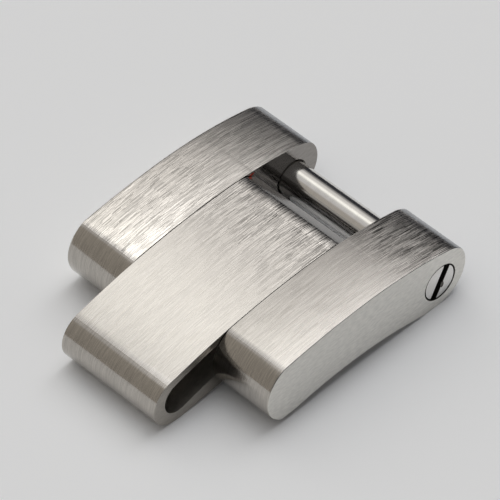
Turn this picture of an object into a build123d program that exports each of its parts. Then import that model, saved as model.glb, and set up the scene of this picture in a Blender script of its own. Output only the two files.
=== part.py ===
from build123d import *
from math import cos, radians, sin, sqrt
import os

# Removable link of a three-row watch bracelet, in stainless steel.
# Two solid outer links hold a slotted centre link between them on two hidden pins.
# The centre link runs out in front as a tongue, and the outer links run on behind as a fork.
# A slotted screw crosses the fork and would carry the tongue of the next link.
# Lengths are in millimetres. +X runs along the bracelet towards the screw, +Y across it
# away from the screw's head, and +Z up from the surface that the link lies on.
# The origin is under the middle of the link.

# Whole link
overall_length = 15.3
overall_width = 12.0
overrun = 1.0

# Arched top, shared by all three rows: two arcs that meet level at the crown
crown_height = 3.55
crown_to_screw = 4.47

# Outer links
front_to_screw = 9.335
end_radius = 1.58
end_corner_angle = 54
nose_bulge = 1.0
nose_height = 1.75
front_foot_height = 0.24
front_foot_front = 0.19
front_foot_back = 0.6
front_foot_radius = 0.4
rear_foot_length = 0.93
outer_underside_rise = 0.39
edge_break = 0.05

# Centre link
centre_width = 5.52
side_gap = 0.03
tongue_radius = 1.29
tongue_corner_angle = 110.2
tongue_foot_length = 0.47
tongue_wall = 0.62
tongue_floor = 0.49
slot_height = 1.7
slot_top_wall = 0.39
heel_radius = 1.5
heel_corner_angle = 70
heel_to_screw = 3.375

# Fixing pins
pin_diameter = 1.66
pin_depth = 1.7
pin_end_room = 0.05
pin_clearance = 0.01
pin_chamfer = 0.1
front_pin_to_screw = 8.26

# Link screw
screw_height = 1.37
head_diameter = 1.74
head_length = 0.95
head_clearance = 0.06
head_seat_gap = 0.02
head_chamfer = 0.05
shank_diameter = 1.6
shank_clearance = 0.03
socket_depth = 0.9
socket_end_gap = 0.03
socket_chamfer = 0.05
tip_diameter = 1.2
tip_length = 1.4
tip_clearance = 0.02
tip_end_room = 0.2
tip_chamfer = 0.15
driver_slot_width = 0.4
driver_slot_depth = 0.4
driver_slot_angle = 61.5

# Ends of the two top arcs
screw_x = overall_length / 2 - end_radius
crown = (screw_x - crown_to_screw, crown_height)
tongue_x = tongue_radius - overall_length / 2
tongue_corner = (
    tongue_x + tongue_radius * cos(radians(tongue_corner_angle)),
    tongue_radius + tongue_radius * sin(radians(tongue_corner_angle)),
)
end_corner = (
    screw_x + end_radius * cos(radians(end_corner_angle)),
    end_radius + end_radius * sin(radians(end_corner_angle)),
)


def top_height(x):
    """Height of the arched top at x, on the front or the rear arc."""
    foot = tongue_corner if x < crown[0] else end_corner
    drop = crown[1] - foot[1]
    arc_radius = ((crown[0] - foot[0]) ** 2 + drop**2) / (2 * drop)
    return crown[1] - arc_radius + sqrt(arc_radius**2 - (x - crown[0]) ** 2)


# Outer links, seen from the side
inner_face_y = centre_width / 2 + side_gap
outer_width = overall_width / 2 - inner_face_y
front_x = screw_x - front_to_screw
front_corner = (front_x, top_height(front_x))
nose = (front_x - nose_bulge, nose_height)
foot_front = (front_x - front_foot_front, front_foot_height)
foot_back = (front_x + front_foot_back, front_foot_height)
rear_foot = (screw_x - rear_foot_length, 0)
outer_underside = (
    (foot_back[0] + rear_foot[0]) / 2,
    (foot_back[1] + rear_foot[1]) / 2 + outer_underside_rise,
)

# Centre link, seen from the side
heel_x = screw_x - heel_to_screw
heel_corner_x = heel_x + heel_radius * cos(radians(heel_corner_angle))
heel_corner = (heel_corner_x, top_height(heel_corner_x))
heel_z = heel_corner[1] - heel_radius * sin(radians(heel_corner_angle))
heel_bottom = (heel_x, heel_z - heel_radius)
tongue_foot = (tongue_x + tongue_foot_length, 0)

# The slot runs from the next screw's seat back to the front pin, under the arched top
slot_drop = slot_top_wall + slot_height / 2
seat = (tongue_wall + slot_height / 2 - overall_length / 2, tongue_floor + slot_height / 2)
front_pin_x = screw_x - front_pin_to_screw
front_pin_at = (front_pin_x, top_height(front_pin_x) - slot_drop)
slot_middle_x = (seat[0] + front_pin_x) / 2
slot_middle = (slot_middle_x, top_height(slot_middle_x) - slot_drop)
rear_pin_at = (heel_x, heel_z)
pin_hole_diameter = pin_diameter + 2 * pin_clearance
pin_end_y = inner_face_y + pin_depth

# Steps of the screw and of the holes that hold it
screw_at = (screw_x, screw_height)
head_inner_y = overall_width / 2 - head_length
shank_end_y = inner_face_y + socket_depth - socket_end_gap
shank_hole_diameter = shank_diameter + 2 * shank_clearance
head_hole_diameter = head_diameter + 2 * head_clearance
tip_hole_diameter = tip_diameter + 2 * tip_clearance
tip_hole_depth = socket_depth + tip_length + tip_end_room

# Side view of an outer link, the same for both
with BuildSketch() as outer_outline:
    with BuildLine():
        TangentArc(crown, front_corner, tangent=(-1, 0))
        ThreePointArc(front_corner, nose, foot_front)
        Line(foot_front, foot_back)
        ThreePointArc(foot_back, outer_underside, rear_foot)
        Line(rear_foot, (screw_x, 0))
        ThreePointArc((screw_x, 0), (screw_x + end_radius, end_radius), end_corner)
        TangentArc(crown, end_corner, tangent=(1, 0))
    make_face()
    fillet(outer_outline.vertices().sort_by_distance(foot_front)[0], radius=front_foot_radius)


def break_edges(link):
    """Small chamfer along the arched top, on both side faces of a link."""
    for side in (link.faces().sort_by(Axis.Y)[0], link.faces().sort_by(Axis.Y)[-1]):
        chamfer(side.outer_wire().edges().sort_by(Axis.Z)[-2:], length=edge_break)


# Near outer link: stepped hole for the screw's head and shank, blind holes for the pins
with BuildPart() as near_outer_link:
    with BuildSketch(Plane.XZ.offset(inner_face_y)):
        add(outer_outline.sketch)
    extrude(amount=outer_width)
    break_edges(near_outer_link)
    with BuildSketch(Plane.XZ.offset(inner_face_y - overrun)):
        with Locations(screw_at):
            Circle(shank_hole_diameter / 2)
    extrude(amount=outer_width + 2 * overrun, mode=Mode.SUBTRACT)
    with BuildSketch(Plane.XZ.offset(head_inner_y - head_seat_gap)):
        with Locations(screw_at):
            Circle(head_hole_diameter / 2)
    extrude(amount=head_seat_gap + head_length + overrun, mode=Mode.SUBTRACT)
    with BuildSketch(Plane.XZ.offset(inner_face_y - overrun)):
        with Locations(front_pin_at, rear_pin_at):
            Circle(pin_hole_diameter / 2)
    extrude(amount=overrun + pin_depth + pin_end_room, mode=Mode.SUBTRACT)

# Far outer link: plain socket for the shank, tapped hole behind it, blind pin holes
with BuildPart() as far_outer_link:
    with BuildSketch(Plane.XZ.offset(-inner_face_y)):
        add(outer_outline.sketch)
    extrude(amount=-outer_width)
    break_edges(far_outer_link)
    with BuildSketch(Plane.XZ.offset(overrun - inner_face_y)):
        with Locations(screw_at):
            Circle(shank_hole_diameter / 2)
    extrude(amount=-overrun - socket_depth, mode=Mode.SUBTRACT)
    with BuildSketch(Plane.XZ.offset(-inner_face_y)):
        with Locations(screw_at):
            Circle(shank_hole_diameter / 2 + socket_chamfer)
    extrude(amount=-socket_chamfer, taper=45, mode=Mode.SUBTRACT)
    with BuildSketch(Plane.XZ.offset(overrun - inner_face_y)):
        with Locations(screw_at):
            Circle(tip_hole_diameter / 2)
    extrude(amount=-overrun - tip_hole_depth, mode=Mode.SUBTRACT)
    with BuildSketch(Plane.XZ.offset(overrun - inner_face_y)):
        with Locations(front_pin_at, rear_pin_at):
            Circle(pin_hole_diameter / 2)
    extrude(amount=-overrun - pin_depth - pin_end_room, mode=Mode.SUBTRACT)

# Centre link: tongue in front, rounded heel behind, arched slot and a hole for the rear pin
with BuildPart() as centre_link:
    with BuildSketch(Plane.XZ.offset(-centre_width / 2)):
        with BuildLine():
            TangentArc(crown, tongue_corner, tangent=(-1, 0))
            ThreePointArc(tongue_corner, (-overall_length / 2, tongue_radius), (tongue_x, 0))
            Line((tongue_x, 0), tongue_foot)
            TangentArc(heel_bottom, tongue_foot, tangent=(-1, 0))
            ThreePointArc(heel_bottom, (heel_x + heel_radius, heel_z), heel_corner)
            TangentArc(crown, heel_corner, tangent=(1, 0))
        make_face()
    extrude(amount=centre_width)
    break_edges(centre_link)
    with BuildLine(mode=Mode.PRIVATE):
        slot_path = ThreePointArc(seat, slot_middle, front_pin_at)
    with BuildSketch(Plane.XZ.offset(-centre_width / 2 - overrun)):
        SlotArc(slot_path, slot_height)
        with Locations(rear_pin_at):
            Circle(pin_hole_diameter / 2)
    extrude(amount=centre_width + 2 * overrun, mode=Mode.SUBTRACT)

# Link screw: slotted head, plain shank across the fork, and the tip that takes the thread
with BuildPart() as link_screw:
    with BuildSketch(Plane.XZ.offset(head_inner_y)):
        with Locations(screw_at):
            Circle(head_diameter / 2)
    extrude(amount=head_length)
    chamfer(link_screw.faces().sort_by(Axis.Y)[0].edges(), length=head_chamfer)
    with BuildSketch(Plane.XZ.offset(head_inner_y)):
        with Locations(screw_at):
            Circle(shank_diameter / 2)
    extrude(amount=-head_inner_y - shank_end_y)
    with BuildSketch(Plane.XZ.offset(-shank_end_y)):
        with Locations(screw_at):
            Circle(tip_diameter / 2)
    extrude(amount=-tip_length)
    chamfer(link_screw.faces().sort_by(Axis.Y)[-1].edges(), length=tip_chamfer)
    with BuildSketch(Plane.XZ.offset(overall_width / 2 - driver_slot_depth)):
        with Locations(screw_at):
            Rectangle(head_diameter + overrun, driver_slot_width, rotation=driver_slot_angle)
    extrude(amount=driver_slot_depth + overrun, mode=Mode.SUBTRACT)

# Fixing pins: plain pins through the centre link, ends held in the blind holes
with BuildPart() as front_fixing_pin:
    with BuildSketch(Plane.XZ.offset(-pin_end_y)):
        with Locations(front_pin_at):
            Circle(pin_diameter / 2)
    extrude(amount=2 * pin_end_y)
    for pin_end in front_fixing_pin.faces().filter_by(Axis.Y):
        chamfer(pin_end.edges(), length=pin_chamfer)

with BuildPart() as rear_fixing_pin:
    with BuildSketch(Plane.XZ.offset(-pin_end_y)):
        with Locations(rear_pin_at):
            Circle(pin_diameter / 2)
    extrude(amount=2 * pin_end_y)
    for pin_end in rear_fixing_pin.faces().filter_by(Axis.Y):
        chamfer(pin_end.edges(), length=pin_chamfer)

near_outer_link.part.label = "near_outer_link"
far_outer_link.part.label = "far_outer_link"
centre_link.part.label = "centre_link"
link_screw.part.label = "link_screw"
front_fixing_pin.part.label = "front_fixing_pin"
rear_fixing_pin.part.label = "rear_fixing_pin"

os.makedirs("parts", exist_ok=True)
export_step(near_outer_link.part, "parts/near_outer_link.step")
export_step(far_outer_link.part, "parts/far_outer_link.step")
export_step(centre_link.part, "parts/centre_link.step")
export_step(link_screw.part, "parts/link_screw.step")
export_step(front_fixing_pin.part, "parts/front_fixing_pin.step")
export_step(rear_fixing_pin.part, "parts/rear_fixing_pin.step")
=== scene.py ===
import math

import bmesh
import bpy
from mathutils import Matrix, Vector


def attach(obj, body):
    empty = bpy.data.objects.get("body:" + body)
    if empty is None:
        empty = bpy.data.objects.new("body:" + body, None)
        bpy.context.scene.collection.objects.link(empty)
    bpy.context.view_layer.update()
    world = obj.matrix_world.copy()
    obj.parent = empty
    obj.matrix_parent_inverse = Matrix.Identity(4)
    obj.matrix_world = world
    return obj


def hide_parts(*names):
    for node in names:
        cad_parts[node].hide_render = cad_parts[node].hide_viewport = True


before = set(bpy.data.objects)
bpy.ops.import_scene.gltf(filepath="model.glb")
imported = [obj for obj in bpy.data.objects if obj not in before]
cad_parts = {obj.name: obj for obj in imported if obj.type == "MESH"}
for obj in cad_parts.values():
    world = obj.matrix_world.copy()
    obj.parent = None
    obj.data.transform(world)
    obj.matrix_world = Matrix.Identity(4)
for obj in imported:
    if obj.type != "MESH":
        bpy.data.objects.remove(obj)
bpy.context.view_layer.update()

# Near outer link. A solid plate of stainless steel, milled to its arched outline,
# stepped through for the screw's head and shank, and drilled from inside for two pins.
# Its top and ends are brushed along the bracelet, and its two sides are satin.
mm = 0.001

# Shapes are drawn in millimetres, and a point of the side view is its x and its z
crown = Vector((1.6, 3.55))
tongue_corner = Vector((-6.8054, 2.5007))
rear_corner = Vector((6.9987, 2.8582))
screw_at = Vector((6.07, 1.37))
front_pin_at = Vector((-2.19, 2.0993))
rear_pin_at = Vector((2.695, 2.08))
outer_side_y = 6.0
inner_side_y = 2.79
curve_step = 0.1
fewest_steps = 8
round_steps = 128
weld = 0.001


def top_height(x):
    """Height of the arched top at x: two arcs that meet level at the crown."""
    foot = tongue_corner if x < crown.x else rear_corner
    drop = crown.y - foot.y
    radius = ((crown.x - foot.x) ** 2 + drop**2) / (2 * drop)
    return crown.y - radius + math.sqrt(radius**2 - (x - crown.x) ** 2)


def circle_through(a, b, c):
    """Centre of the circle through three points of a side view."""
    to_b = b.length_squared - a.length_squared
    to_c = c.length_squared - a.length_squared
    return Matrix((b - a, c - a)).inverted() @ Vector((to_b, to_c)) / 2


def carry_arc(bm, start, middle, end):
    """Carries an outline on from its last vertex, through middle to end."""
    a = Vector((start.co.x, start.co.z))
    centre = circle_through(a, middle, end)
    turn = (a - centre).angle_signed(middle - centre)
    turn += (middle - centre).angle_signed(end - centre)
    steps = max(fewest_steps, round(abs(turn) * (a - centre).length / curve_step))
    spun = bmesh.ops.spin(
        bm, geom=[start], cent=(centre.x, start.co.y, centre.y), axis=(0, 1, 0),
        angle=turn, steps=steps,
    )
    return spun["geom_last"][0]


def carry_line(bm, start, end):
    """Carries an outline straight on from its last vertex to end."""
    new = bmesh.ops.extrude_vert_indiv(bm, verts=[start])["verts"][0]
    new.co = (end.x, start.co.y, end.y)
    return new


def roll_edges(bm, chosen, offset):
    """Rolls the chosen edges over to a small round."""
    bmesh.ops.bevel(
        bm, geom=[e for e in bm.edges if chosen(e)], offset=offset, offset_type="OFFSET",
        segments=5, profile=0.5, affect="EDGES", clamp_overlap=True, material=-1,
    )


def carry_corner(bm, start, corner, end):
    """Carries an outline round a softened corner to end, on the far side of it."""
    before = Vector((start.co.x, start.co.z))
    return carry_arc(bm, start, (corner + (before + end) / 2) / 2, end)


def on_top(x):
    """The point of the arched top at x."""
    return Vector((x, top_height(x)))


top_slot, side_slot, nose_slot, hole_slot, inner_slot, end_slot, wall_slot = range(7)
side_lean = 0.9
nose_lean = -0.36
end_lean = 0.45
sharp_angle = 1.0
edge_roll = 0.02
corner_roll = 0.2
fork_x = 3.6
fork_roll = 0.1


def is_sharp(edge):
    """Whether an edge is a corner of the plate, and not a step of a curve."""
    return edge.calc_face_angle(0) > sharp_angle


def fill_along_y(bm, width):
    """Fills a closed outline and makes a solid of it along +Y."""
    bmesh.ops.remove_doubles(bm, verts=bm.verts, dist=weld)
    side = bmesh.ops.edgeloop_fill(bm, edges=bm.edges)["faces"]
    extruded = bmesh.ops.extrude_face_region(bm, geom=side)["geom"]
    moved = [part for part in extruded if isinstance(part, bmesh.types.BMVert)]
    bmesh.ops.translate(bm, verts=moved, vec=(0, width, 0))
    bmesh.ops.recalc_face_normals(bm, faces=bm.faces)


def close_plate(bm, width, side_roll):
    """Fills a closed outline, makes a plate of it along +Y, and gives each part of its
    surface its material: its finish, in a tone that paints much of the light and shade.
    Then it rolls the edges: those of the outer side, those inside the fork, and last all that
    are still sharp. A roll that ends on a curve is held back, so an outer link's inner edges
    get hairlines, which still turn the shading of its top."""
    fill_along_y(bm, width)
    for face in bm.faces:
        if abs(face.normal.y) > side_lean:
            beside_centre = abs(face.calc_center_median().y) < inner_side_y + 0.1
            face.material_index = inner_slot if beside_centre else side_slot
        elif face.normal.x < nose_lean:
            face.material_index = nose_slot
        elif face.normal.x > end_lean:
            face.material_index = end_slot
        else:
            face.material_index = top_slot

    def on_outer_side(edge):
        """Whether an edge borders the outer side, which shows most."""
        return is_sharp(edge) and all(abs(v.co.y) > outer_side_y - 0.1 for v in edge.verts)

    def in_fork(edge):
        """Whether an edge borders the inner side where the plate is an arm of the fork."""
        return is_sharp(edge) and all(
            abs(abs(v.co.y) - inner_side_y) < 0.01 and v.co.x > fork_x for v in edge.verts
        )

    roll_edges(bm, on_outer_side, side_roll)
    roll_edges(bm, in_fork, fork_roll)
    roll_edges(bm, is_sharp, edge_roll)


def turned(bm, at, stations):
    """Turns a shape round an axis along Y. Each station is a place on Y and a radius."""
    first_y, first_radius = stations[0]
    last = bmesh.ops.create_vert(bm, co=(at.x + first_radius, first_y, at.y))["vert"][0]
    for y, radius in stations[1:]:
        new = bmesh.ops.extrude_vert_indiv(bm, verts=[last])["verts"][0]
        new.co = (at.x + radius, y, at.y)
        last = new
    bmesh.ops.spin(
        bm, geom=bm.verts[:] + bm.edges[:], cent=(at.x, 0, at.y), axis=(0, 1, 0),
        angle=math.tau, steps=round_steps, use_merge=True,
    )
    bmesh.ops.remove_doubles(bm, verts=bm.verts, dist=weld / 2)
    bmesh.ops.recalc_face_normals(bm, faces=bm.faces)


def put_in_scene(bm, name):
    """Makes the finished bmesh, drawn in millimetres, an object in metres."""
    bmesh.ops.scale(bm, vec=(mm, mm, mm), verts=bm.verts)
    mesh = bpy.data.meshes.new(name)
    bm.to_mesh(mesh)
    bm.free()
    piece = bpy.data.objects.new(name, mesh)
    bpy.context.scene.collection.objects.link(piece)
    return piece


def cut(piece, *cutters):
    """Cuts each cutter out of a piece and takes the cutters away again."""
    for cutter in cutters:
        step = piece.modifiers.new("cut", "BOOLEAN")
        step.operation = "DIFFERENCE"
        step.solver = "EXACT"
        step.object = cutter
    done = piece.evaluated_get(bpy.context.evaluated_depsgraph_get())
    shape = bpy.data.meshes.new_from_object(done)
    piece.modifiers.clear()
    shape.name = piece.name
    piece.data = shape
    for cutter in cutters:
        bpy.data.objects.remove(cutter)


def drill(at, *stations):
    """A cutter for a round hole or a stepped one, whose walls take the dark painted shade."""
    bm = bmesh.new()
    turned(bm, at, stations)
    for face in bm.faces:
        face.material_index = hole_slot
    return put_in_scene(bm, "drill")


pin_hole_radius = 0.84
pin_hole_end_y = 4.54
past_inner_y = 2.6


def pin_drills(side):
    """Cutters for an outer link's two blind pin holes, on side -1, near, or 1, far."""
    inner_y, outer_y = sorted((side * past_inner_y, side * pin_hole_end_y))
    stations = (inner_y, 0), (inner_y, pin_hole_radius), (outer_y, pin_hole_radius), (outer_y, 0)
    return drill(front_pin_at, *stations), drill(rear_pin_at, *stations)


def smooth(piece):
    """Smooth shading over the curves, with the flat sides kept flat."""
    piece.data.shade_smooth()
    piece.data.set_sharp_from_angle(angle=math.radians(32))
    flat = piece.modifiers.new("flat sides", "WEIGHTED_NORMAL")
    flat.keep_sharp = True
    flat.weight = 80


def dress(piece, *steels):
    """Gives a piece its materials, in the order of the slots."""
    for steel in steels:
        piece.data.materials.append(steel)


def outer_plate(name, first_side_y, side_roll):
    """Either outer link, before its holes. Its outline runs from the crown forwards over
    the nose, back along the arched underside, and up round the rear end."""
    front_corner = on_top(-3.265)
    nose = Vector((-4.265, 1.75))
    foot_front = Vector((-3.455, 0.24))
    foot_back = Vector((-2.665, 0.24))
    rear_foot = Vector((5.14, 0.0))
    underside_middle = Vector(((foot_back.x + rear_foot.x) / 2, 0.51))
    foot_round = 0.4
    rear_radius = 1.58
    rear_roll = 0.45
    nose_centre = circle_through(front_corner, nose, foot_front)
    nose_radius = (nose - nose_centre).length
    inset = nose_radius - foot_round
    rise = foot_front.y + foot_round - nose_centre.y
    round_x = nose_centre.x - math.sqrt(inset**2 - rise**2)
    round_centre = Vector((round_x, foot_front.y + foot_round))
    round_start = nose_centre + (round_centre - nose_centre) * nose_radius / inset
    round_end = Vector((round_centre.x, foot_front.y))
    halfway = ((round_start + round_end) / 2 - round_centre).normalized()
    round_middle = round_centre + halfway * foot_round
    bm = bmesh.new()
    start = bmesh.ops.create_vert(bm, co=(crown.x, first_side_y, crown.y))["vert"][0]
    front_middle = on_top((crown.x + front_corner.x) / 2)
    last = carry_arc(bm, start, front_middle, on_top(front_corner.x + corner_roll))
    turn = Matrix.Rotation(corner_roll / nose_radius, 2)
    nose_top = nose_centre + turn @ (front_corner - nose_centre)
    last = carry_corner(bm, last, front_corner, nose_top)
    last = carry_arc(bm, last, nose, round_start)
    last = carry_arc(bm, last, round_middle, round_end)
    last = carry_line(bm, last, foot_back)
    last = carry_arc(bm, last, underside_middle, rear_foot)
    last = carry_line(bm, last, Vector((screw_at.x, 0)))
    rear_centre = Vector((screw_at.x, rear_radius))
    turn = Matrix.Rotation(-rear_roll / rear_radius, 2)
    rear_top = rear_centre + turn @ (rear_corner - rear_centre)
    last = carry_arc(bm, last, rear_centre + Vector((rear_radius, 0)), rear_top)
    last = carry_corner(bm, last, rear_corner, on_top(rear_corner.x - rear_roll))
    carry_arc(bm, last, on_top((crown.x + rear_corner.x) / 2), crown)
    close_plate(bm, outer_side_y - inner_side_y, side_roll)
    return put_in_scene(bm, name)


def brushed_steel(
    name, tone, front_grain, rear_grain, front_x=-0.002, rear_x=0.006,
    front_painted_light=1, rear_painted_light=1, smoothest=0.24, roughest=0.34,
):
    """Steel brushed along the outline. Long soft streaks are in its colour, roughness and
    surface, and short fine scratches in its colour. The grain, which is how deep they are,
    may change from front_x to rear_x, and so may a painted light and shade in its colour."""
    streak_size = (500, 25000, 500)
    off_the_grid = (0.6, 0.5, 0.4)
    streak_depth = 0.4
    lines_per_metre = 45000
    scratches_per_metre_x = 1700
    scratches_per_metre_z = 1000
    longest_shift = 40
    scratch_depth = 0.95
    streak_middle_and_painted_shade = -0.24
    relief_height = 0.0000008
    material = bpy.data.materials.new(name)
    material.use_nodes = True
    tree = material.node_tree
    steel = tree.nodes["Principled BSDF"]
    steel.inputs["Metallic"].default_value = 1
    steel.inputs["Anisotropic"].default_value = 0.75
    steel.inputs["Anisotropic Rotation"].default_value = 0.25
    place = tree.nodes.new("ShaderNodeTexCoord")
    stretch = tree.nodes.new("ShaderNodeMapping")
    stretch.inputs["Rotation"].default_value = off_the_grid
    stretch.inputs["Scale"].default_value = streak_size
    tree.links.new(place.outputs["Object"], stretch.inputs["Vector"])
    streaks = tree.nodes.new("ShaderNodeTexNoise")
    streaks.inputs["Scale"].default_value = 1
    streaks.inputs["Detail"].default_value = 0.3
    tree.links.new(stretch.outputs["Vector"], streaks.inputs["Vector"])
    apart = tree.nodes.new("ShaderNodeSeparateXYZ")
    tree.links.new(place.outputs["Object"], apart.inputs["Vector"])

    def worked_out(operation, *values):
        """A sum of sockets and plain numbers."""
        step = tree.nodes.new("ShaderNodeMath")
        step.operation = operation
        for socket, value in zip(step.inputs, values):
            if isinstance(value, (int, float)):
                socket.default_value = value
            else:
                tree.links.new(value, socket)
        return step.outputs["Value"]

    def along_x(front, rear):
        """A value that goes smoothly from front to rear along the piece."""
        change = tree.nodes.new("ShaderNodeMapRange")
        change.interpolation_type = "SMOOTHSTEP"
        change.inputs["From Min"].default_value = front_x
        change.inputs["From Max"].default_value = rear_x
        change.inputs["To Min"].default_value = front
        change.inputs["To Max"].default_value = rear
        tree.links.new(apart.outputs["X"], change.inputs["Value"])
        return change.outputs["Result"]

    # Thin lines run along the piece side by side, each cut into scratches from its own start
    line = worked_out("FLOOR", worked_out("MULTIPLY", apart.outputs["Y"], lines_per_metre))
    shift = tree.nodes.new("ShaderNodeTexWhiteNoise")
    shift.noise_dimensions = "1D"
    tree.links.new(line, shift.inputs["W"])
    along_line = worked_out("MULTIPLY", shift.outputs["Value"], longest_shift)
    along_line = worked_out("MULTIPLY_ADD", apart.outputs["Z"], scratches_per_metre_z, along_line)
    along_line = worked_out("MULTIPLY_ADD", apart.outputs["X"], scratches_per_metre_x, along_line)
    where = tree.nodes.new("ShaderNodeCombineXYZ")
    tree.links.new(line, where.inputs["X"])
    tree.links.new(worked_out("FLOOR", along_line), where.inputs["Y"])
    scratches = tree.nodes.new("ShaderNodeTexWhiteNoise")
    tree.links.new(where.outputs["Vector"], scratches.inputs["Vector"])
    thin = worked_out("SUBTRACT", scratches.outputs["Value"], 0.5)
    thin = worked_out("MULTIPLY", thin, scratch_depth)
    # The streaks' level averages a little below nothing, so deeper grain also darkens the steel:
    # painted shade towards the rear of the near and centre tops
    level = worked_out("MULTIPLY_ADD", streaks.outputs["Fac"], streak_depth, streak_middle_and_painted_shade)
    level = worked_out("ADD", level, thin)
    grain = along_x(front_grain, rear_grain)
    shade = worked_out("MULTIPLY_ADD", level, grain, along_x(front_painted_light, rear_painted_light))
    colour = tree.nodes.new("ShaderNodeMix")
    colour.data_type = "RGBA"
    colour.blend_type = "MULTIPLY"
    colour.inputs["Factor"].default_value = 1
    colour.inputs["A"].default_value = (*tone, 1)
    tree.links.new(shade, colour.inputs["B"])
    tree.links.new(colour.outputs["Result"], steel.inputs["Base Color"])
    rough = tree.nodes.new("ShaderNodeMapRange")
    rough.inputs["From Min"].default_value = 0.3
    rough.inputs["From Max"].default_value = 0.7
    rough.inputs["To Min"].default_value = smoothest
    rough.inputs["To Max"].default_value = roughest
    tree.links.new(streaks.outputs["Fac"], rough.inputs["Value"])
    tree.links.new(rough.outputs["Result"], steel.inputs["Roughness"])
    relief = tree.nodes.new("ShaderNodeBump")
    relief.inputs["Strength"].default_value = 1
    relief.inputs["Distance"].default_value = relief_height
    tree.links.new(streaks.outputs["Fac"], relief.inputs["Height"])
    tree.links.new(relief.outputs["Normal"], steel.inputs["Normal"])
    round_the_arch = tree.nodes.new("ShaderNodeTangent")
    round_the_arch.direction_type = "RADIAL"
    round_the_arch.axis = "Y"
    tree.links.new(round_the_arch.outputs["Tangent"], steel.inputs["Tangent"])
    return material


def satin_steel(name, tone, smoothest=0.34, roughest=0.44):
    """Steel with a fine even satin: a soft grain in its colour, roughness and surface."""
    grain_size = (3000, 9000, 9000)
    darker, lighter = 0.9, 1.1
    relief_height = 0.000001
    material = bpy.data.materials.new(name)
    material.use_nodes = True
    tree = material.node_tree
    steel = tree.nodes["Principled BSDF"]
    steel.inputs["Metallic"].default_value = 1
    place = tree.nodes.new("ShaderNodeTexCoord")
    stretch = tree.nodes.new("ShaderNodeMapping")
    stretch.inputs["Scale"].default_value = grain_size
    tree.links.new(place.outputs["Object"], stretch.inputs["Vector"])
    grain = tree.nodes.new("ShaderNodeTexNoise")
    grain.inputs["Scale"].default_value = 1
    grain.inputs["Detail"].default_value = 3
    tree.links.new(stretch.outputs["Vector"], grain.inputs["Vector"])
    colour = tree.nodes.new("ShaderNodeValToRGB")
    darkest, lightest = colour.color_ramp.elements
    darkest.position = 0.3
    darkest.color = [c * darker for c in tone] + [1]
    lightest.position = 0.7
    lightest.color = [c * lighter for c in tone] + [1]
    tree.links.new(grain.outputs["Fac"], colour.inputs["Fac"])
    tree.links.new(colour.outputs["Color"], steel.inputs["Base Color"])
    rough = tree.nodes.new("ShaderNodeMapRange")
    rough.inputs["To Min"].default_value = smoothest
    rough.inputs["To Max"].default_value = roughest
    tree.links.new(grain.outputs["Fac"], rough.inputs["Value"])
    tree.links.new(rough.outputs["Result"], steel.inputs["Roughness"])
    relief = tree.nodes.new("ShaderNodeBump")
    relief.inputs["Strength"].default_value = 0.5
    relief.inputs["Distance"].default_value = relief_height
    tree.links.new(grain.outputs["Fac"], relief.inputs["Height"])
    tree.links.new(relief.outputs["Normal"], steel.inputs["Normal"])
    return material


# The brushed tops are one steel, but their tones differ from link to link, the near link's darkest
# and the far link's lightest: painted light and shade.
brushed_near = brushed_steel(
    "brushed_near", (0.53, 0.506, 0.479), 0.25, 1.75, front_x=0.003, rear_x=0.0055
)
satin = satin_steel("satin_side", (0.72, 0.705, 0.665))
# The noses: the brushed steel, smoother, and darker in tone as painted shade
nose_painted_shade = brushed_steel(
    "brushed_nose_painted_shade", (0.47, 0.443, 0.406), 0.3, 0.3, smoothest=0.13, roughest=0.2
)
# Walls of holes and cuts: drilled and milled steel, painted very dark as the shade in them
hole_wall_painted_shade = satin_steel("hole_wall_steel_painted_shade", (0.14, 0.13, 0.118))
inner_side = satin_steel("inner_side", (0.5, 0.48, 0.45), 0.1, 0.16)
# The rear ends: the brushed steel in a darker, bluish tone, a painted cool reflection and shade
end_painted_reflection = brushed_steel("brushed_end_painted_reflection", (0.4, 0.41, 0.425), 0.3, 0.3)

head_hole_radius = 0.92
head_hole_rim = 0.21
head_hole_mouth_y = -5.99
head_hole_floor_y = -5.03
shank_hole_radius = 0.83
near_plate = outer_plate("near_outer_plate", -outer_side_y, side_roll=0.05)
screw_hole = drill(
    screw_at,
    (head_hole_mouth_y - head_hole_rim, 0),
    (head_hole_mouth_y - head_hole_rim, head_hole_radius + head_hole_rim),
    (head_hole_mouth_y, head_hole_radius),
    (head_hole_floor_y, head_hole_radius),
    (head_hole_floor_y, shank_hole_radius),
    (-past_inner_y, shank_hole_radius),
    (-past_inner_y, 0),
)
cut(near_plate, screw_hole, *pin_drills(-1))
smooth(near_plate)
dress(near_plate, brushed_near, satin, nose_painted_shade, hole_wall_painted_shade, inner_side, end_painted_reflection)
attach(near_plate, "link")
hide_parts("near_outer_link")

# Far outer link. The same plate on the other side, in the same steel and finish. Its
# brushed top is a lighter tone, painted light, and is painted lighter still at the front and
# darker at the rear, as light and shade.
# It takes the end of the shank in a plain socket and the thread in a blind hole
# behind it, both from inside, and nothing shows in its outer side.
socket_mouth_radius = 1.07
socket_mouth_end_y = 2.84
socket_end_y = 3.69
thread_hole_radius = 0.62
thread_hole_end_y = 5.29
stain_at = (0.0036, 0.00279, 0.00329)
stain_reach = (0.00025, 0.0003, 0.00008)
stain_fade = 0.4
stain_red = (0.55, 0.06, 0.03, 1)

far_plate = outer_plate("far_outer_plate", inner_side_y, side_roll=0.15)
socket = drill(
    screw_at,
    (past_inner_y, 0),
    (past_inner_y, socket_mouth_radius),
    (socket_mouth_end_y, shank_hole_radius),
    (socket_end_y, shank_hole_radius),
    (socket_end_y, thread_hole_radius),
    (thread_hole_end_y, thread_hole_radius),
    (thread_hole_end_y, 0),
)
cut(far_plate, socket, *pin_drills(1))
smooth(far_plate)
# Painted light and shade: the top's tone is raised at the front and lowered towards the rear
brushed_far_painted_light = brushed_steel(
    "brushed_far_painted_light", (0.645, 0.616, 0.581), 1.0, 0.55, front_painted_light=1.08, rear_painted_light=0.8
)
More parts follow.
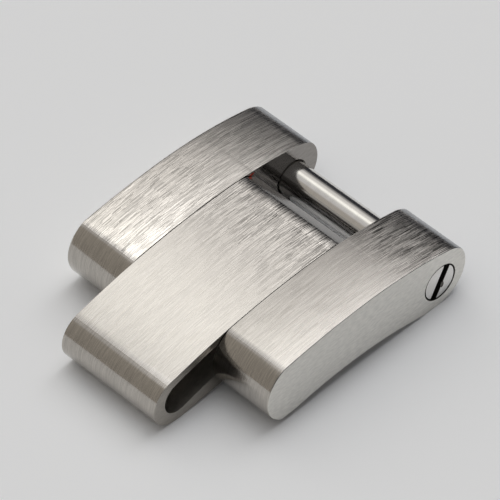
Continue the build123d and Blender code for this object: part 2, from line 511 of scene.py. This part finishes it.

# The inner side is a darker grey than the near link's, painted shade, and has a small red
# stain by the heel, fading out from its middle
stain_and_painted_shade = satin_steel("inner_side_far_painted_shade", (0.3, 0.282, 0.265), 0.1, 0.16)
tree = stain_and_painted_shade.node_tree
mark = tree.nodes.new("ShaderNodeMapping")
mark.vector_type = "TEXTURE"
mark.inputs["Location"].default_value = stain_at
mark.inputs["Scale"].default_value = stain_reach
tree.links.new(tree.nodes["Texture Coordinate"].outputs["Object"], mark.inputs["Vector"])
fade = tree.nodes.new("ShaderNodeTexGradient")
fade.gradient_type = "SPHERICAL"
tree.links.new(mark.outputs["Vector"], fade.inputs["Vector"])
spread = tree.nodes.new("ShaderNodeMapRange")
spread.inputs["From Max"].default_value = stain_fade
tree.links.new(fade.outputs["Fac"], spread.inputs["Value"])
stain = tree.nodes.new("ShaderNodeMix")
stain.data_type = "RGBA"
tree.links.new(spread.outputs["Result"], stain.inputs["Factor"])
tree.links.new(tree.nodes["Color Ramp"].outputs["Color"], stain.inputs["A"])
stain.inputs["B"].default_value = stain_red
tree.links.new(stain.outputs["Result"], tree.nodes["Principled BSDF"].inputs["Base Color"])
dress(far_plate, brushed_far_painted_light, satin, nose_painted_shade, hole_wall_painted_shade, stain_and_painted_shade, end_painted_reflection)
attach(far_plate, "link")
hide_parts("far_outer_link")

# Centre link. One solid piece of the same steel, with a tongue in front and a heel
# behind, and a long arched slot milled through it from side to side.
# Two pins through it, hidden by the outer links, hold the three rows together.
centre_side_y = 2.76
past_sides_y = 3.2
tongue_centre = Vector((-6.36, 1.29))
tongue_foot = Vector((-5.89, 0))
seat = Vector((-6.18, 1.34))
slot_middle = Vector((-4.185, 1.8188))
slot_half = 0.85
heel_radius = 1.5
heel_end_angle = math.radians(43)
heel_corner = on_top(3.15)
heel_roll = 0.55
heel_flat_share = 0.16

bm = bmesh.new()
start = bmesh.ops.create_vert(bm, co=(crown.x, -centre_side_y, crown.y))["vert"][0]
front_middle = on_top((crown.x + tongue_corner.x) / 2)
last = carry_arc(bm, start, front_middle, on_top(tongue_corner.x + corner_roll))
turn = Matrix.Rotation(corner_roll / tongue_centre.y, 2)
tongue_top = tongue_centre + turn @ (tongue_corner - tongue_centre)
last = carry_corner(bm, last, tongue_corner, tongue_top)
tongue_tip = tongue_centre - Vector((tongue_centre.y, 0))
last = carry_arc(bm, last, tongue_tip, Vector((tongue_centre.x, 0)))
last = carry_line(bm, last, tongue_foot)

# The underside arches up from the tongue's foot and meets the heel level
heel_bottom = rear_pin_at - Vector((0, heel_radius))
reach = heel_bottom - tongue_foot
underside_radius = reach.length_squared / (2 * reach.y)
middle_x = (heel_bottom.x + tongue_foot.x) / 2
fall = underside_radius - math.sqrt(underside_radius**2 - (middle_x - heel_bottom.x) ** 2)
last = carry_arc(bm, last, Vector((middle_x, heel_bottom.y - fall)), heel_bottom)
heel_end = rear_pin_at + heel_radius * Vector((math.cos(heel_end_angle), math.sin(heel_end_angle)))
last = carry_arc(bm, last, rear_pin_at + Vector((heel_radius, 0)), heel_end)
last = carry_line(bm, last, heel_corner.lerp(heel_end, heel_flat_share))
last = carry_corner(bm, last, heel_corner, on_top(heel_corner.x - heel_roll))
carry_arc(bm, last, on_top((crown.x + heel_corner.x) / 2), crown)
close_plate(bm, 2 * centre_side_y, edge_roll)

# The rolled edges of the heel take the heel's satin in its darker tone, painted shade
for face in bm.faces:
    if face.normal.x > end_lean:
        face.material_index = end_slot
centre_plate = put_in_scene(bm, "centre_plate")

slot_centre = circle_through(seat, slot_middle, front_pin_at)
slot_radius = (seat - slot_centre).length


def beside_slot_line(point, offset):
    """The point beside the slot's middle line, that far out from its centre."""
    return slot_centre + (point - slot_centre) * (slot_radius + offset) / slot_radius


def past_slot_end(point, distance):
    """The point straight on from an end of the slot's middle line."""
    out = (point - slot_centre).normalized()
    return point + distance * Vector((out.y, -out.x))


bm = bmesh.new()
slot_top = [beside_slot_line(point, slot_half) for point in (seat, slot_middle, front_pin_at)]
slot_floor = [beside_slot_line(point, -slot_half) for point in (seat, slot_middle, front_pin_at)]
slot_start = (slot_top[0].x, -past_sides_y, slot_top[0].y)
start = bmesh.ops.create_vert(bm, co=slot_start)["vert"][0]
last = carry_arc(bm, start, slot_top[1], slot_top[2])
last = carry_arc(bm, last, past_slot_end(front_pin_at, slot_half), slot_floor[2])
last = carry_arc(bm, last, slot_floor[1], slot_floor[0])
carry_arc(bm, last, past_slot_end(seat, -slot_half), slot_top[0])
fill_along_y(bm, 2 * past_sides_y)
for face in bm.faces:
    face.material_index = wall_slot
slot_cutter = put_in_scene(bm, "slot_cutter")
pin_hole = drill(
    rear_pin_at,
    (-past_sides_y, 0),
    (-past_sides_y, pin_hole_radius),
    (past_sides_y, pin_hole_radius),
    (past_sides_y, 0),
)
cut(centre_plate, slot_cutter, pin_hole)
smooth(centre_plate)
dress(
    centre_plate,
    brushed_steel("brushed_centre", (0.58, 0.554, 0.524), 0.2, 2.2),
    satin,
    nose_painted_shade,
    hole_wall_painted_shade,
    # The centre link's sides, seen at the tongue: satin in a darker tone, painted shade
    satin_steel("tongue_side_painted_shade", (0.37, 0.345, 0.31), 0.18, 0.26),
    # The heel and its rolled edges: satin in a darker tone, painted shade
    satin_steel("heel_steel_painted_shade", (0.32, 0.311, 0.302), 0.1, 0.18),
    # The slot's walls: steel in a darker tone, painted shade in the slot
    satin_steel("slot_wall_painted_shade", (0.45, 0.43, 0.4)),
)
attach(centre_plate, "link")
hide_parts("centre_link")

# Link screw. Turned from stainless steel rod and polished, with a flat head that
# lies flush in the near outer link, a driver slot milled across the head,
# a plain shank across the fork, and a thread on its thinner tip.
screw_outline = [
    (-6, 0), (-6, 0.82), (-5.985, 0.85), (-5.95, 0.865), (-5.05, 0.865), (-5.05, 0.8),
    (3.63, 0.8), (3.66, 0.77), (3.66, 0.5), (4.98, 0.5), (5.06, 0.42), (5.06, 0),
]
driver_slot_size = (2.4, 0.8, 0.4)
driver_slot_turn = math.radians(-61.5)
slip_mark_radius = 0.1
slip_mark_stretch = (1, 0.5, 1.7)
slip_mark_at = (screw_at.x + 0.13, -outer_side_y, screw_at.y - 0.22)
thread_ridge = ((0.49, 3.74), (0.6, 3.83), (0.49, 3.92))
thread_pitch = 0.25
thread_turns = 4.5
turn_steps = 48
cut_slot = 1

bm = bmesh.new()
turned(bm, screw_at, screw_outline)
screw = put_in_scene(bm, "slotted_link_screw")


def head_cutter(bm, name, place):
    """Puts a cutter at its place in the head's face; its walls take the dark painted shade."""
    bmesh.ops.translate(bm, verts=bm.verts, vec=place)
    for face in bm.faces:
        face.material_index = cut_slot
    return put_in_scene(bm, name)


bm = bmesh.new()
bmesh.ops.create_cube(bm, size=1)
bmesh.ops.scale(bm, vec=driver_slot_size, verts=bm.verts)
tilt = Matrix.Rotation(driver_slot_turn, 3, "Y")
bmesh.ops.rotate(bm, verts=bm.verts, cent=(0, 0, 0), matrix=tilt)
driver_slot = head_cutter(bm, "driver_slot_cutter", (screw_at.x, -outer_side_y, screw_at.y))

# A driver has slipped once and left a small mark on the slot's edge
bm = bmesh.new()
bmesh.ops.create_icosphere(bm, subdivisions=3, radius=slip_mark_radius)
bmesh.ops.scale(bm, vec=slip_mark_stretch, verts=bm.verts)
cut(screw, driver_slot, head_cutter(bm, "driver_slip_mark", slip_mark_at))

# The thread is a ridge wound round the tip, and is joined to the screw's mesh
bm = bmesh.new()
ridge = [
    bmesh.ops.create_vert(bm, co=(screw_at.x + radius, y, screw_at.y))["vert"][0]
    for radius, y in thread_ridge
]
bmesh.ops.contextual_create(bm, geom=ridge)
bmesh.ops.spin(
    bm, geom=bm.faces[:], cent=(screw_at.x, 0, screw_at.y), axis=(0, 1, 0),
    angle=math.tau * thread_turns, steps=round(turn_steps * thread_turns),
    dvec=(0, thread_pitch / turn_steps, 0),
)
bmesh.ops.recalc_face_normals(bm, faces=bm.faces)
thread = put_in_scene(bm, "thread")
bm = bmesh.new()
bm.from_mesh(screw.data)
bm.from_mesh(thread.data)
bm.to_mesh(screw.data)
bm.free()
bpy.data.objects.remove(thread)
smooth(screw)

polished = bpy.data.materials.new("polished_screw")
polished.use_nodes = True
tree = polished.node_tree
steel = tree.nodes["Principled BSDF"]
steel.inputs["Metallic"].default_value = 1
place = tree.nodes.new("ShaderNodeTexCoord")
grain = tree.nodes.new("ShaderNodeTexNoise")
grain.inputs["Scale"].default_value = 2500
grain.inputs["Detail"].default_value = 3
tree.links.new(place.outputs["Object"], grain.inputs["Vector"])
colour = tree.nodes.new("ShaderNodeValToRGB")
darkest, lightest = colour.color_ramp.elements
darkest.position = 0.3
darkest.color = (0.7, 0.685, 0.665, 1)
lightest.position = 0.7
lightest.color = (0.77, 0.755, 0.735, 1)
tree.links.new(grain.outputs["Fac"], colour.inputs["Fac"])
tree.links.new(colour.outputs["Color"], steel.inputs["Base Color"])
rough = tree.nodes.new("ShaderNodeMapRange")
rough.inputs["To Min"].default_value = 0.1
rough.inputs["To Max"].default_value = 0.18
tree.links.new(grain.outputs["Fac"], rough.inputs["Value"])
tree.links.new(rough.outputs["Result"], steel.inputs["Roughness"])
dress(screw, polished, hole_wall_painted_shade)
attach(screw, "screw")
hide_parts("link_screw")

# Fixing pins. Two plain ground pins, pressed through the centre link into the blind
# holes of the outer links. All that shows of them is the front one, deep in the slot.
ground = satin_steel("ground_pin", (0.5, 0.49, 0.47))
for pin in ("front_fixing_pin", "rear_fixing_pin"):
    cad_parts[pin].data.materials.clear()
    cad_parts[pin].data.materials.append(ground)

# Floor. A pale grey matt sheet, well past the edges of the picture.
# It carries the link's shadow and is no part of it.
floor_reach = 0.07
floor_mesh = bmesh.new()
bmesh.ops.create_grid(floor_mesh, x_segments=1, y_segments=1, size=floor_reach)
mesh = bpy.data.meshes.new("floor")
floor_mesh.to_mesh(mesh)
floor_mesh.free()
floor = bpy.data.objects.new("floor", mesh)
bpy.context.scene.collection.objects.link(floor)
paper = bpy.data.materials.new("pale_surface")
paper.use_nodes = True
surface = paper.node_tree.nodes["Principled BSDF"]
surface.inputs["Base Color"].default_value = (0.945, 0.953, 0.968, 1)
surface.inputs["Roughness"].default_value = 0.75
surface.inputs["Specular IOR Level"].default_value = 0.3
floor.data.materials.append(paper)

# Light. A room with a soft panel on the far side, which the tops mirror. A band overhead,
# strongest over the screw end, lights the floor and throws a soft shadow forwards.
# The near side is dim, and the wall beyond the screw end is dark low down.
room_strength = 2.75
widest_lean = 3
least_rise = 0.02
dim_grey = (0.06, 0.06, 0.06, 1)
wall_grey = (0.01, 0.01, 0.012, 1)
backdrop_grey = (0.227, 0.231, 0.235, 1)
black, white = (0, 0, 0), (1, 1, 1)
world = bpy.data.worlds.new("room")
bpy.context.scene.world = world
world.use_nodes = True
room = world.node_tree
sky = room.nodes["Background"]
sky.inputs["Strength"].default_value = room_strength
direction = room.nodes.new("ShaderNodeTexCoord")
split = room.nodes.new("ShaderNodeSeparateXYZ")
room.links.new(direction.outputs["Generated"], split.inputs["Vector"])
up = room.nodes.new("ShaderNodeMath")
up.operation = "MAXIMUM"
up.inputs[1].default_value = least_rise
room.links.new(split.outputs["Z"], up.inputs[0])


def slope(axis, low, high):
    """How far a direction leans along an axis for its rise, from low to high as 0 to 1."""
    lean = room.nodes.new("ShaderNodeMath")
    lean.operation = "DIVIDE"
    room.links.new(split.outputs[axis], lean.inputs[0])
    room.links.new(up.outputs["Value"], lean.inputs[1])
    spread = room.nodes.new("ShaderNodeMapRange")
    spread.inputs["From Min"].default_value = low
    spread.inputs["From Max"].default_value = high
    room.links.new(lean.outputs["Value"], spread.inputs["Value"])
    return spread.outputs["Result"]


def ramp(value, stops):
    """Colours by value: each stop is its place and its colour."""
    colours = room.nodes.new("ShaderNodeValToRGB")
    stripe = colours.color_ramp
    while len(stripe.elements) < len(stops):
        stripe.elements.new(0.5)
    for element, (place, colour) in zip(stripe.elements, stops):
        element.position = place
        element.color = (*colour, 1)
    room.links.new(value, colours.inputs["Fac"])
    return colours.outputs["Color"]


def along_room(stops):
    """Colours from the tongue's end of the room to the screw's, by a direction's lean."""
    places = [((lean + widest_lean) / (2 * widest_lean), colour) for lean, colour in stops]
    return ramp(slope("X", -widest_lean, widest_lean), places)


def mixed(amount, first, second):
    """One colour or the other by amount. The first may be a plain colour."""
    mix = room.nodes.new("ShaderNodeMix")
    mix.data_type = "RGBA"
    room.links.new(amount, mix.inputs["Factor"])
    if isinstance(first, tuple):
        mix.inputs["A"].default_value = first
    else:
        room.links.new(first, mix.inputs["A"])
    room.links.new(second, mix.inputs["B"])
    return mix.outputs["Result"]


panel = along_room([
    (-3, (0.134, 0.125, 0.113)),
    (-0.55, (0.149, 0.139, 0.125)),
    (-0.4, (0.209, 0.203, 0.199)),
    (-0.05, (0.231, 0.227, 0.222)),
    (0.07, (0.311, 0.307, 0.289)),
    (0.16, (0.459, 0.453, 0.428)),
    (0.36, (0.459, 0.453, 0.428)),
    (0.46, (0.326, 0.316, 0.302)),
    (0.67, (0.270, 0.263, 0.252)),
    (0.9, (0.270, 0.262, 0.254)),
    (1.02, (0.170, 0.164, 0.161)),
    (1.25, (0.120, 0.117, 0.113)),
    (1.51, (0.090, 0.089, 0.088)),
    (1.82, (0.012, 0.012, 0.014)),
])
ceiling = along_room([
    (-1.0, (0.03, 0.03, 0.03)),
    (-0.15, (0.88, 0.88, 0.88)),
    (0.15, (1.28, 1.28, 1.28)),
    (0.95, (1.28, 1.28, 1.28)),
    (1.5, (0.16, 0.16, 0.16)),
])
overhead = ramp(slope("Y", -0.29, 0.08), [(0, black), (1, white)])
far_side = ramp(slope("Y", 0.05, 0.43), [(0, black), (1, white)])
lit = mixed(far_side, mixed(overhead, dim_grey, ceiling), panel)
above_wall = ramp(split.outputs["Z"], [(0.02, black), (0.24, white)])
screw_end = ramp(slope("X", 0, 0.2), [(0, black), (1, white)])
dimmed = mixed(screw_end, lit, mixed(above_wall, wall_grey, lit))
seen = room.nodes.new("ShaderNodeLightPath")
backdrop = room.nodes.new("ShaderNodeMix")
backdrop.data_type = "RGBA"
room.links.new(seen.outputs["Is Camera Ray"], backdrop.inputs["Factor"])
room.links.new(dimmed, backdrop.inputs["A"])
backdrop.inputs["B"].default_value = backdrop_grey
room.links.new(backdrop.outputs["Result"], sky.inputs["Color"])

# Camera. A long lens from the tongue's side and above, at the viewing angle and with
# the framing of the photograph, and with everything in focus.
camera_at = (-0.107411, -0.107667, 0.164928)
line_of_sight = Vector((0.485825, 0.483705, -0.728013))
lens = bpy.data.cameras.new("camera")
lens.sensor_width = 36
lens.lens = 380.99
lens.clip_start = 0.01
lens.clip_end = 20
camera = bpy.data.objects.new("camera", lens)
camera.location = camera_at
camera.rotation_euler = line_of_sight.to_track_quat("-Z", "Y").to_euler()
bpy.context.scene.collection.objects.link(camera)
bpy.context.scene.camera = camera
bpy.context.scene.view_settings.view_transform = "Standard"
